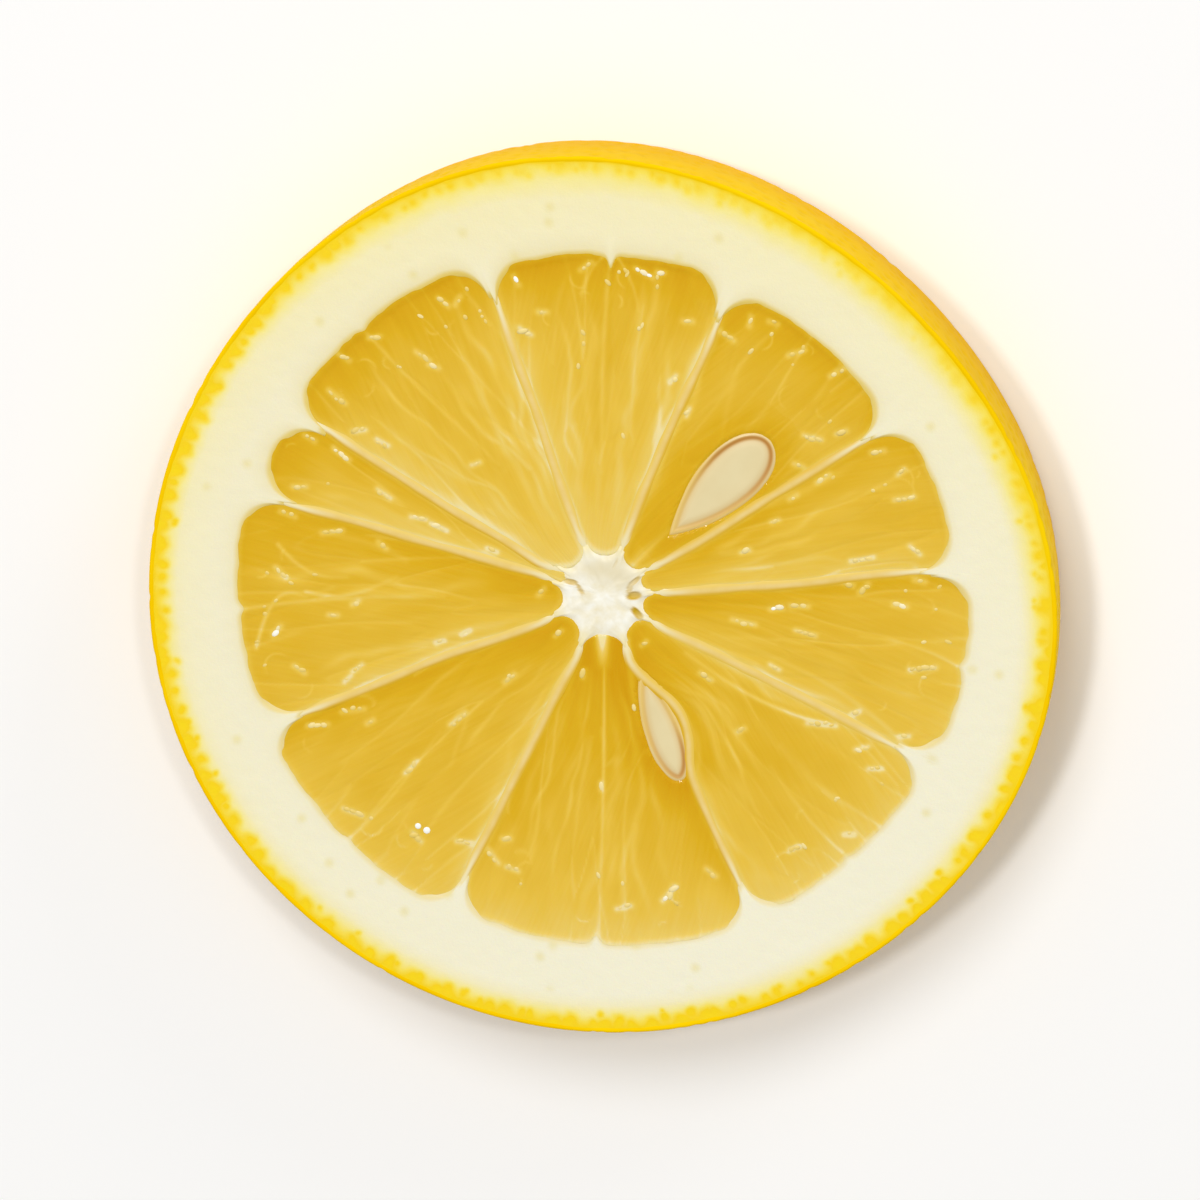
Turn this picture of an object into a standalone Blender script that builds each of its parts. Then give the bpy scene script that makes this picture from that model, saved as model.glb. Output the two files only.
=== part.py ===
"""A slice of lemon, lying on its smaller cut face. Metres, +Z up, the origin under the middle of the slice.

It is one solid, as the real slice is: rind, pith, the thin walls between the segments and the
pulp have grown together. The upper cut was made at the lemon's widest girth, so the rind leans in
below it. On both cuts the pulp of the ten segments lies a little lower than the pith.
"""

import math

import bmesh
import bpy

MM = 0.001

# The slice
FACE_RADIUS = 31.5 * MM  # of the upper cut, which is the lemon's widest
THICKNESS = 7.5 * MM
MERIDIAN_RADIUS = 45.0 * MM  # of the rind's curve from the lemon's stem to its tip
# How far the lemon is from round: a number of shallow corners, their height as a share of the radius,
# and where the first of them is, in degrees
LOBES = (
    (2, 0.0060, -23),
    (3, 0.0097, -17),
    (4, 0.0056, 2),
)
CUT_EDGE = 0.15 * MM  # the softened edge of each cut

# Where the walls between the segments meet the pith, turning anticlockwise from +X, and how far out
# the segment that follows each wall reaches from the core
SEGMENTS = (
    (5.1, 24.6),
    (31.9, 23.9),
    (67.5, 24.3),
    (109.0, 25.0),
    (149.6, 24.9),
    (164.3, 25.7),
    (202.8, 25.9),
    (243.9, 25.4),
    (293.8, 25.2),
    (332.9, 25.5),
)
CORE_AT = (0.23 * MM, 0.31 * MM)  # the segments' shared middle, which isn't quite the slice's
CORE_RADIUS = 3.0 * MM  # to the tips of the segments
WALL = 0.5 * MM  # thickness of a wall between two segments
OUTER_CORNER = 2.3 * MM  # radius of a segment's corners against the pith
RECESS = 0.25 * MM  # how much lower than the pith the pulp lies

# Fineness
RIM_STEPS = 120
RIM_RINGS = 5
DEGREES_PER_ARC_POINT = 15
ARC_STEP = 1.6 * MM  # along a segment's outer side


def clear_scene():
    for old in list(bpy.data.objects):
        bpy.data.objects.remove(old)


def new_collection(name, shown=True):
    collection = bpy.data.collections.new(name)
    collection.hide_render = not shown
    bpy.context.scene.collection.children.link(collection)
    return collection


def lemon_material():
    material = bpy.data.materials.new("lemon")
    material.use_nodes = True
    shader = material.node_tree.nodes["Principled BSDF"]
    shader.inputs["Base Color"].default_value = (0.82, 0.56, 0.06, 1)
    shader.inputs["Roughness"].default_value = 0.3
    shader.inputs["Metallic"].default_value = 0
    return material


def add_object(name, data, collection, helper=False):
    thing = bpy.data.objects.new(name, data)
    collection.objects.link(thing)
    if helper:
        thing.hide_render = True
        thing.display_type = "WIRE"
    return thing


def rind_point(angle, height):
    """A point of the rind, in a direction from the lemon's stem and at a height."""
    below_girth = THICKNESS - height
    meridian = FACE_RADIUS - MERIDIAN_RADIUS + math.sqrt(MERIDIAN_RADIUS**2 - below_girth**2)
    shape = 1
    for count, share, first in LOBES:
        shape += share * math.cos(count * (angle - math.radians(first)))
    return meridian * shape * math.cos(angle), meridian * shape * math.sin(angle)


def girth_middle():
    """The middle of the girth's bounding box, which isn't quite the stem."""
    girth = [rind_point(math.tau * step / RIM_STEPS, THICKNESS) for step in range(RIM_STEPS)]
    return [(min(places) + max(places)) / 2 for places in zip(*girth)]


def make_disc(collection):
    """The whole slice with flat cuts: a cylinder that takes the lemon's own outline at every height."""
    middle_x, middle_y = girth_middle()
    disc = bmesh.new()
    bmesh.ops.create_cone(
        disc,
        cap_ends=True,
        segments=RIM_STEPS,
        radius1=FACE_RADIUS,
        radius2=FACE_RADIUS,
        depth=THICKNESS,
    )
    bmesh.ops.translate(disc, verts=disc.verts, vec=(0, 0, THICKNESS / 2))
    for ring in range(1, RIM_RINGS):
        height = THICKNESS * ring / RIM_RINGS
        bmesh.ops.bisect_plane(
            disc,
            geom=disc.verts[:] + disc.edges[:] + disc.faces[:],
            plane_co=(0, 0, height),
            plane_no=(0, 0, 1),
        )
    for vert in disc.verts:
        x, y = rind_point(math.atan2(vert.co.y, vert.co.x), vert.co.z)
        vert.co.x = x - middle_x
        vert.co.y = y - middle_y
    mesh = bpy.data.meshes.new("lemon_slice")
    disc.to_mesh(mesh)
    disc.free()
    return add_object("lemon_slice", mesh, collection)


def arc(middle, radius, start, end, steps=None):
    """Points from one angle to another round a middle, both ends included."""
    if steps is None:
        steps = max(2, round(abs(math.degrees(end - start)) / DEGREES_PER_ARC_POINT))
    points = []
    for step in range(steps + 1):
        angle = start + (end - start) * step / steps
        points.append(
            (middle[0] + radius * math.cos(angle), middle[1] + radius * math.sin(angle))
        )
    return points


def segment_outline(spread, reach):
    """One segment with its tip towards the origin and its middle along +X.

    Both sides run half a wall away from the rays at +spread and -spread. A tip arc joins them near
    the core, and a corner arc leads from each into the outer side.
    """
    half_wall = WALL / 2
    tip_middle = (CORE_RADIUS - half_wall) / (1 - math.sin(spread))
    tip_radius = tip_middle - CORE_RADIUS
    corner_distance = reach - OUTER_CORNER
    corner_angle = spread - math.asin((OUTER_CORNER + half_wall) / corner_distance)
    corners = {}
    for side in (-1, 1):
        corners[side] = (
            corner_distance * math.cos(corner_angle),
            side * corner_distance * math.sin(corner_angle),
        )
    square = math.pi / 2
    outer_steps = max(2, round(2 * corner_angle * reach / ARC_STEP))
    outline = arc((tip_middle, 0), tip_radius, spread + square, 3 * square - spread)
    outline += arc(corners[-1], OUTER_CORNER, -spread - square, -corner_angle)
    outline += arc((0, 0), reach, -corner_angle, corner_angle, outer_steps)[1:-1]
    outline += arc(corners[1], OUTER_CORNER, corner_angle, spread + square)
    return outline


def turned(point, angle):
    """A point of a segment's outline, turned round the core and set in the slice."""
    x, y = point
    return (
        CORE_AT[0] + x * math.cos(angle) - y * math.sin(angle),
        CORE_AT[1] + x * math.sin(angle) + y * math.cos(angle),
    )


def all_outlines():
    outlines = []
    for index, (start, reach_mm) in enumerate(SEGMENTS):
        end = SEGMENTS[(index + 1) % len(SEGMENTS)][0]
        width = (end - start) % 360
        middle = math.radians(start + width / 2)
        shape = segment_outline(math.radians(width / 2), reach_mm * MM)
        outlines.append([turned(point, middle) for point in shape])
    return outlines


def make_recess(name, cut_height, collection):
    """Ten pads, one for each segment, that sink the pulp below one cut. Their lower edges are round."""
    curve = bpy.data.curves.new(name, "CURVE")
    curve.dimensions = "2D"
    curve.fill_mode = "BOTH"
    curve.extrude = RECESS
    for outline in all_outlines():
        spline = curve.splines.new("POLY")
        spline.points.add(len(outline) - 1)
        for point, (x, y) in zip(spline.points, outline):
            point.co = (x, y, 0, 1)
        spline.use_cyclic_u = True
    drawn = add_object(name + "_outlines", curve, collection, helper=True)
    drawn.location.z = cut_height
    bpy.context.view_layer.update()
    evaluated = drawn.evaluated_get(bpy.context.evaluated_depsgraph_get())
    mesh = bpy.data.meshes.new_from_object(evaluated)
    welded = bmesh.new()
    welded.from_mesh(mesh)
    bmesh.ops.remove_doubles(welded, verts=welded.verts, dist=0.001 * MM)
    bmesh.ops.recalc_face_normals(welded, faces=welded.faces)
    welded.to_mesh(mesh)
    welded.free()
    recess = add_object(name, mesh, collection, helper=True)
    recess.matrix_world = drawn.matrix_world
    bpy.data.objects.remove(drawn)
    soften = recess.modifiers.new("round_floor_edge", "BEVEL")
    soften.width = RECESS * 0.9
    soften.segments = 2
    soften.limit_method = "ANGLE"
    soften.angle_limit = math.radians(60)
    return recess


def cut(target, cutter):
    boolean = target.modifiers.new(cutter.name, "BOOLEAN")
    boolean.operation = "DIFFERENCE"
    boolean.solver = "EXACT"
    boolean.object = cutter


def main():
    clear_scene()
    parts = new_collection("lemon_slice")
    cutters = new_collection("cutters", shown=False)
    lemon = make_disc(parts)
    lemon.data.materials.append(lemon_material())
    soften = lemon.modifiers.new("cut_edges", "BEVEL")
    soften.width = CUT_EDGE
    soften.segments = 1
    soften.limit_method = "ANGLE"
    soften.angle_limit = math.radians(60)
    cut(lemon, make_recess("pulp_recess_above", THICKNESS, cutters))
    cut(lemon, make_recess("pulp_recess_below", 0, cutters))


main()
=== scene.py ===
import math

import bmesh
import bpy
import numpy as np
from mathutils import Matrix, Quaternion, Vector


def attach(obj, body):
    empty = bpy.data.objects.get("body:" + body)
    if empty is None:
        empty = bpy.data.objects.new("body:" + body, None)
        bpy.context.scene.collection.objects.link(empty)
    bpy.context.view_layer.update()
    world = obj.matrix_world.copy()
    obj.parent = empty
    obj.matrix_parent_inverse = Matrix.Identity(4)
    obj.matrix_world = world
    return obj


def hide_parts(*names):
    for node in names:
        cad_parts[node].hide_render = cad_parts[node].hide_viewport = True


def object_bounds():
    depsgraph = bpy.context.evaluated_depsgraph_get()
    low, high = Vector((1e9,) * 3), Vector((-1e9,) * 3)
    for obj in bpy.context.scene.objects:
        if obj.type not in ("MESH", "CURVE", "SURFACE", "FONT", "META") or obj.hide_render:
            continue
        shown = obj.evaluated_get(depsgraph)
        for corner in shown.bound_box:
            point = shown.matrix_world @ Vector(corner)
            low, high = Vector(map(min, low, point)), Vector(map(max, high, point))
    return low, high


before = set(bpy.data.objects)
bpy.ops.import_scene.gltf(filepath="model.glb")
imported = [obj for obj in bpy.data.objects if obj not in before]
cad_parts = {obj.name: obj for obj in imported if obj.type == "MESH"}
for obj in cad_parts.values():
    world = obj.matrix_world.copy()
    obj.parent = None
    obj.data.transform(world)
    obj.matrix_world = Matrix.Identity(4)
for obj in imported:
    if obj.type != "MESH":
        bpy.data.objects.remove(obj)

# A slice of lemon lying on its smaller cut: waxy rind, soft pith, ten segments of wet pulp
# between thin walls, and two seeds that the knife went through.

cadLow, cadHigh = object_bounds()
mm = 0.001  # the functions below work in millimetres, and the meshes are in metres
thickness = cadHigh.z / mm
turn = math.tau
repeat = 128  # the two noises start again after this many units


lemon = {  # in millimetres and degrees, turning anticlockwise from +X
    "meridian": 45.0,  # radius of the rind's curve from the stem to the tip
    "lobes": ((2, 0.0060, -23), (3, 0.0097, -17), (4, 0.0056, 2)),  # corners, height as a share, first
    "core": (0.23, 0.31),  # where the segments meet, not quite the slice's middle
    "coreRadius": 3.0,
    "halfWall": 0.25,
    "corner": 2.3,  # of a segment, against the pith
    "walls": (5.1, 31.9, 67.5, 109.0, 149.6, 164.3, 202.8, 243.9, 293.8, 332.9),
    "reach": (24.6, 23.9, 24.3, 25.0, 24.9, 25.7, 25.9, 25.4, 25.2, 25.5),  # after each wall
    "notches": (  # where the pith dips into a segment: angle, depth, width in degrees
        (87.6, 0.9, 0.6),
        (131.1, 0.3, 1.3),
        (183.4, 0.35, 1.0),
        (224.6, 0.2, 1.2),
        (267.7, 0.7, 0.8),
        (312.0, 0.25, 1.2),
        (349.5, 0.3, 0.9),
    ),
}
wallCount = len(lemon["walls"])


def smooth(value, start, end):
    # 0 up to start and 1 from end on, with a soft change between
    part = np.clip((value - start) / (end - start), 0, 1)
    return part * part * (3 - 2 * part)


def bell(value, width):
    # 1 at 0, and almost nothing two widths away
    return np.exp(-((value / width) ** 2))


def softNoise(x, y, seed):
    # gradient noise, about -1 to 1, with one bump to each unit square
    turns = np.random.default_rng(seed).uniform(0, turn, (repeat, repeat))
    column, row = np.floor(x).astype(int), np.floor(y).astype(int)
    fx, fy = x - column, y - row
    wx, wy = fx * fx * (3 - 2 * fx), fy * fy * (3 - 2 * fy)

    def corner(right, up):
        angle = turns[(column + right) % repeat, (row + up) % repeat]
        return np.cos(angle) * (fx - right) + np.sin(angle) * (fy - up)

    low = corner(0, 0) + (corner(1, 0) - corner(0, 0)) * wx
    high = corner(0, 1) + (corner(1, 1) - corner(0, 1)) * wx
    return 1.5 * (low + (high - low) * wy)


def ringNoise(angle, bumps, shift, seed, rise=0):
    # noise that closes round a ring, with rise as a second direction
    return softNoise(bumps * np.cos(angle) + shift, bumps * np.sin(angle) + rise + shift, seed)


def nearestSpot(x, y, seed, around=repeat):
    # distance to the nearest of the spots scattered one to a unit square, and that spot's number
    table = np.random.default_rng(seed).random((3, repeat, repeat))
    column, row = np.floor(x).astype(int), np.floor(y).astype(int)
    best = np.full(x.shape, 9.0)
    number = np.zeros(x.shape)
    for right in (-1, 0, 1):
        for up in (-1, 0, 1):
            at = ((column + right) % around % repeat, (row + up) % repeat)
            spotX = column + right + 0.5 + 0.7 * (table[0][at] - 0.5)
            spotY = row + up + 0.5 + 0.7 * (table[1][at] - 0.5)
            distance = np.hypot(x - spotX, y - spotY)
            nearer = distance < best
            best = np.where(nearer, distance, best)
            number = np.where(nearer, table[2][at], number)
    return best, number


def rindShape(angle):
    shape = np.ones_like(angle)
    for count, share, first in lemon["lobes"]:
        shape += share * np.cos(count * (angle - math.radians(first)))
    return shape


# the outline turns round the lemon's stem, and the origin is the middle of its box
around = np.linspace(0, turn, 1201)
unitX, unitY = rindShape(around) * np.cos(around), rindShape(around) * np.sin(around)
faceRadius = (cadHigh.x - cadLow.x) / mm / (unitX.max() - unitX.min())
stemX = -faceRadius * (unitX.max() + unitX.min()) / 2
stemY = -faceRadius * (unitY.max() + unitY.min()) / 2


def rindRadius(angle, height):
    # from the stem to the skin
    meridian = lemon["meridian"]
    lean = meridian - np.sqrt(meridian**2 - (thickness - height) ** 2)
    return (faceRadius - lean) * rindShape(angle)


def laid(x, y, along, sideways, heading):
    # the place that lies ahead of a point and to the left of it, facing a heading
    return (
        x + along * np.cos(heading) - sideways * np.sin(heading),
        y + along * np.sin(heading) + sideways * np.cos(heading),
    )


def seen(x, y, fromX, fromY, heading):
    # how far ahead and to the left a place lies, seen from a point and facing a heading
    offX, offY = x - fromX, y - fromY
    return (
        offX * np.cos(heading) + offY * np.sin(heading),
        offY * np.cos(heading) - offX * np.sin(heading),
    )


def wallWidths(index):
    # the angle of a wall, and the width of the segment that follows it
    start = lemon["walls"][index]
    width = (lemon["walls"][(index + 1) % wallCount] - start) % 360
    return math.radians(start), math.radians(width)


def segmentTip(width):
    # middle and radius of the arc that joins a segment's two sides by the core
    middle = (lemon["coreRadius"] - lemon["halfWall"]) / (1 - math.sin(width / 2))
    return middle, middle - lemon["coreRadius"]


def segmentEnds(angle):
    # how far from the core's middle a segment begins and ends, in each direction
    begins, ends = np.zeros((2, len(angle)))
    for index in range(wallCount):
        start, width = wallWidths(index)
        across = (angle - start) % turn
        mine = across < width
        half = width / 2
        off = abs(across - half)
        tipMiddle, tip = segmentTip(width)
        near = np.clip(off, 0, math.asin(tip / tipMiddle))
        bowl = np.sqrt(np.maximum(tip**2 - (tipMiddle * np.sin(near)) ** 2, 0))
        begins[mine] = (tipMiddle * np.cos(near) - bowl)[mine]
        corner = lemon["corner"]
        reach = lemon["reach"][index] - corner
        cornerAngle = half - math.asin((corner + lemon["halfWall"]) / reach)
        far = np.clip(off - cornerAngle, 0, math.asin(corner / reach))
        round_ = np.sqrt(np.maximum(corner**2 - (reach * np.sin(far)) ** 2, 0))
        ends[mine] = (reach * np.cos(far) + round_)[mine]
    return begins, ends


def pithDip(angle):
    # how far the pith's inner edge stands in from the segments' even outline
    dip = 0.09 * ringNoise(angle, 8, 40, 5) + 0.05 * ringNoise(angle, 21, 40, 6)
    for where, depth, width in lemon["notches"]:
        off = (np.degrees(angle) - where + 180) % 360 - 180
        dip += depth / (1 + (off / width) ** 2) ** 1.5
    return dip


walls = {
    "wobble": 0.05,  # mm that a wall strays sideways again and again
    "strays": (  # and how far each one lies from its straight line near the core, half way and by the pith
        (-0.15, -0.1, 0.2), (-0.15, -0.15, 0.05), (0.07, 0.09, -0.17), (0.15, 0.05, -0.2),
        (0.33, 0.18, -0.25), (-0.15, -0.1, 0.05), (0.23, 0.0, 0.02), (0.23, 0.03, -0.05),
        (-0.3, 0.2, 0.05), (-0.2, 0.05, -0.12),
    ),
    "bentWall": 8,  # this one goes round a seed
    "bend": 1.3,
    "bendMiddle": 9.9,
    "bendReach": 4.8,
}


def wallAngle(index, radius):
    # a wall's direction from the core, at each distance from it
    index %= wallCount
    stray = np.sin(radius / 2.7 + index * 2.1) + 0.5 * np.sin(radius / 1.3 + index * 4.4)
    shift = walls["wobble"] * stray * smooth(radius, 4, 8) * smooth(radius, 24, 20)
    shift += np.interp(radius, (3, 5, 12, 22), (0, *walls["strays"][index]))
    if index == walls["bentWall"]:
        off = np.clip((radius - walls["bendMiddle"]) / walls["bendReach"], -1, 1)
        shift += walls["bend"] * np.cos(off * math.pi / 2) ** 2
    return math.radians(lemon["walls"][index]) + np.arctan2(shift, radius)


def sideAngles(index, radius):
    # the directions of the two walls that a segment lies between
    lower, higher = wallAngle(index, radius), wallAngle(index + 1, radius)
    return lower, np.where(higher < lower, higher + turn, higher)


def colour(code):
    # an sRGB hex value as linear red, green, blue and alpha
    parts = [int(code[at : at + 2], 16) / 255 for at in (1, 3, 5)]
    linear = [c / 12.92 if c <= 0.04045 else ((c + 0.055) / 1.055) ** 2.4 for c in parts]
    return (*linear, 1)


def placed(name, data):
    thing = bpy.data.objects.new(name, data)
    bpy.context.scene.collection.objects.link(thing)
    return thing


def linkInputs(node, links):
    # a source that is only a name is read from what the piece's points carry under that name
    for name, source in links.items():
        if isinstance(source, str):
            source = addNode(node.id_data, "Attribute", {"attribute_name": source}, output="Fac")
        node.id_data.links.new(source, node.inputs[name])


def addNode(tree, kind, settings=None, links=None, output=0):
    # adds a node with its settings and links, and gives one of its outputs
    node = tree.nodes.new("ShaderNode" + kind)
    for name, value in (settings or {}).items():
        if name == "stops":  # of a colour ramp, in order
            elements = node.color_ramp.elements
            for place, shade in value[1:-1]:
                elements.new(place)
            for element, (place, shade) in zip(elements, value):
                element.position, element.color = place, colour(shade)
        elif name in node.inputs.keys() or isinstance(name, int):
            node.inputs[name].default_value = value
        else:
            setattr(node, name, value)
    linkInputs(node, links or {})
    return node.outputs[output]


def tinted(tree, shade, tints):
    # lays one colour after another over a shade, each as strongly as the points' value of that name
    for name, code in tints.items():
        tint = {"data_type": "RGBA", 7: colour(code)}
        shade = addNode(tree, "Mix", tint, {0: name, 6: shade}, output=2)
    return shade


def newMaterial(name, settings):
    material = bpy.data.materials.new(name)
    material.use_nodes = True
    shader = material.node_tree.nodes["Principled BSDF"]
    for socket, value in settings.items():
        shader.inputs[socket].default_value = value
    return material, material.node_tree, shader


def addPiece(name, bm, material, shape):
    # turns a bmesh into a piece; shape gives the final place of its points and their attributes
    mesh = bpy.data.meshes.new(name)
    bm.to_mesh(mesh)
    bm.free()
    count = len(mesh.vertices)
    start = np.empty(count * 3)
    mesh.vertices.foreach_get("co", start)
    x, y, z = start.reshape(-1, 3).T
    layers = {}
    for layer in list(mesh.attributes):
        if layer.data_type == "FLOAT" and layer.domain == "POINT":
            values = np.empty(count)
            layer.data.foreach_get("value", values)
            layers[layer.name] = values
    for layerName in layers:
        mesh.attributes.remove(mesh.attributes[layerName])
    place, attributes = shape(x, y, z, layers)
    mesh.vertices.foreach_set("co", np.stack(place, axis=1).ravel() * mm)
    bm = bmesh.new()
    bm.from_mesh(mesh)
    bmesh.ops.recalc_face_normals(bm, faces=bm.faces)
    bm.to_mesh(mesh)
    bm.free()
    for attribute, values in attributes.items():
        mesh.attributes.new(attribute, "FLOAT", "POINT").data.foreach_set("value", values)
    mesh.materials.append(material)
    mesh.shade_smooth()
    mesh.update()
    piece = placed(name, mesh)
    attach(piece, "root")
    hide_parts("lemon_slice")
    return piece


def rolledGrid(along, around, ring):
    # a grid rolled into a tube and, for a ring, joined end to end as well; "along" and "around"
    # keep each point's place in it, from 0 to 1
    bm = bmesh.new()
    bmesh.ops.create_grid(bm, x_segments=along, y_segments=around, size=0.5)
    alongLayer = bm.verts.layers.float.new("along")
    aroundLayer = bm.verts.layers.float.new("around")
    seam = []
    for vert in bm.verts:
        vert[alongLayer], vert[aroundLayer] = vert.co.x + 0.5, vert.co.y + 0.5
        if abs(vert.co.y) > 0.4999 or (ring and abs(vert.co.x) > 0.4999):
            seam.append(vert)
        lap = turn * vert[aroundLayer]
        if ring:
            reach, heading = 3 + math.cos(lap), turn * vert[alongLayer]
            vert.co = (reach * math.cos(heading), reach * math.sin(heading), math.sin(lap))
        else:
            vert.co.y, vert.co.z = math.cos(lap), math.sin(lap)
    bmesh.ops.remove_doubles(bm, verts=seam, dist=0.0001)
    if not ring:
        bmesh.ops.holes_fill(bm, edges=[edge for edge in bm.edges if edge.is_boundary], sides=0)
    return bm


def onProfile(profile, layers):
    # where each point of a ring lies: its angle, then its values in the profile
    row = np.rint(layers["around"] * len(profile)).astype(int) % len(profile)
    return turn * layers["along"], *np.array(profile)[row].T


rind = {
    "steps": 1200,
    "cutEdge": 0.16,  # radius of the knife's edge on the skin
    "lip": 0.3,  # how far the piece reaches over the cut
    "thick": 0.9,
    "sideRows": 34,
    "poreSpacing": 1.25,
    "poreWidth": 0.62,
    "poreDepth": 0.09,
    "waves": 0.08,
}


def waxyRind():
    # the outer skin of a lemon, the flavedo: waxy and satin, finely pitted over its oil glands, with
    # painted shade making it deeper orange low on its side
    material, tree, shader = newMaterial(
        "waxy lemon rind",
        {"IOR": 1.35, "Specular IOR Level": 0.06, "Specular Tint": colour("#FFD800")},
    )
    place = addNode(tree, "TexCoord", output="Object")
    patches = addNode(tree, "TexNoise", {"Scale": 1 / (9 * mm), "Detail": 3}, {"Vector": place})
    stops = ((0.3, "#F4C400"), (0.5, "#F8CA04"), (0.7, "#FAD008"))
    skin = addNode(tree, "ValToRGB", {"stops": stops}, {"Fac": patches})
    # the low tint is painted shade, deeper orange towards the side's lower edge
    skin = tinted(tree, skin, {"pore": "#EFC003", "low": "#EDB400"})
    grain = addNode(tree, "TexNoise", {"Scale": 1 / (0.35 * mm), "Detail": 2}, {"Vector": place})
    rough = addNode(tree, "MapRange", {"To Min": 0.46, "To Max": 0.6}, {"Value": grain})
    relief = addNode(tree, "Bump", {"Strength": 0.35, "Distance": 0.03 * mm}, {"Height": grain})
    linkInputs(shader, {"Base Color": skin, "Roughness": rough, "Normal": relief})
    return material


def buildRind():
    edge, lip, rows = rind["cutEdge"], rind["lip"], rind["sideRows"]
    # (distance in from the skin, height): over the upper cut, round its edge, down the side and under
    profile = [(lip + 0.3, thickness - 0.2), (lip + 0.15, thickness - 0.07), (lip, thickness - 0.02)]
    profile.append(((lip + edge) / 2, thickness - 0.004))
    laps = np.linspace(0, math.pi / 2, 5)
    arc = [(edge - edge * math.sin(lap), edge - edge * math.cos(lap)) for lap in laps]
    profile += [(inset, thickness - down) for inset, down in arc]
    profile += [(0, thickness - edge - (thickness - 2 * edge) * row / rows) for row in range(1, rows)]
    profile += reversed(arc)
    profile += [(lip, 0.02), (lip + 0.3, 0.2), (rind["thick"], 0.5), (rind["thick"], thickness - 0.5)]
    bm = rolledGrid(rind["steps"], len(profile), ring=True)

    def shape(x, y, z, layers):
        angle, inset, z = onProfile(profile, layers)
        spacing = rind["poreSpacing"]
        around = round(turn * faceRadius / spacing)
        distance, number = nearestSpot((angle % turn) / turn * around, z / spacing + 7, 11, around)
        width = rind["poreWidth"] * (0.6 + 0.7 * number) / 2 / spacing
        pore = bell(distance, width) * smooth(inset, 0.2, 0.05)
        waves = ringNoise(angle, 7, 30, 12, z * 0.3) + 0.5 * ringNoise(angle, 22, 30, 13, z * 0.6)
        awayFromCuts = smooth(z, 0, 1) * smooth(z, thickness, thickness - 1)
        sunk = pore * rind["poreDepth"] + rind["waves"] * (0.5 - 0.5 * waves) * awayFromCuts
        radius = rindRadius(angle, z) - inset - sunk
        # painted shade: deeper down the side, strongest at its lower edge
        values = {"pore": 0.6 * pore, "low": 0.65 * smooth(z, thickness - 0.5, 1)}
        return (*laid(stemX, stemY, radius, 0, angle), z), values

    addPiece("rind", bm, waxyRind(), shape)


pith = {
    "steps": 1400,
    "lip": 0.1,  # height of its soft inner edge
    "lipWidth": 0.7,
    "lipReach": 0.3,  # how far the edge reaches in over the segments
    "underRind": 0.2,  # how far inside the skin it ends
    "topRows": 36,
    "bottomRows": 12,
    "glandSpacing": 1.05,
    "glandDepth": 0.85,  # under the skin
    "glandWidth": 0.42,
    "glandLength": 0.42,
}


def cutPeel():
    # cut lemon peel: matt spongy white pith, and round it the yellow skin with its oil glands cut open
    material, tree, shader = newMaterial(
        "cut lemon peel",
        {
            "IOR": 1.35,
            "Specular IOR Level": 0.3,
            "Subsurface Weight": 0.1,
            "Subsurface Scale": 0.0004,
            "Subsurface Radius": (1.0, 0.8, 0.35),
            "Coat Weight": 0.1,
            "Coat Roughness": 0.25,
            "Coat IOR": 1.3,
        },
    )
    place = addNode(tree, "TexCoord", output="Object")
    patches = addNode(tree, "TexNoise", {"Scale": 1 / (1.6 * mm), "Detail": 3}, {"Vector": place})
    uneven = addNode(tree, "MapRange", {"To Min": -0.3, "To Max": 0.3}, {"Value": patches})
    between = addNode(tree, "Math", {"operation": "SUBTRACT", 0: 1.0}, {1: "gland"})
    cleared = addNode(tree, "Math", {"operation": "MULTIPLY"}, {0: "depth", 1: between})
    shifted = addNode(tree, "Math", {"operation": "ADD"}, {0: cleared, 1: uneven})
    share = addNode(tree, "Math", {"operation": "DIVIDE", 1: 5.0}, {0: shifted})  # the ramp is 5 mm long
    stops = ((0.0, "#FADA0C"), (0.08, "#F8D316"), (0.16, "#F8E056"))
    stops += ((0.26, "#F6E894"), (0.4, "#F4EAB8"), (1.0, "#F2EAC6"))
    peel = addNode(tree, "ValToRGB", {"stops": stops}, {"Fac": share})
    # near the pulp the tints include painted shade, stronger on the upper side
    tints = {"nearPulp": "#EBDFAE", "bleached": "#F4EFD4", "soaked": "#E7CB66", "speck": "#E8D888"}
    peel = tinted(tree, peel, tints)
    pores = {"Scale": 1 / (0.25 * mm), "Detail": 4, "Roughness": 0.65}
    sponge = addNode(tree, "TexNoise", pores, {"Vector": place})
    rough = addNode(tree, "MapRange", {"To Min": 0.42, "To Max": 0.62}, {"Value": sponge})
    relief = addNode(tree, "Bump", {"Strength": 0.35, "Distance": 0.05 * mm}, {"Height": sponge})
    linkInputs(shader, {"Base Color": peel, "Roughness": rough, "Normal": relief})
    return material


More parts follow.
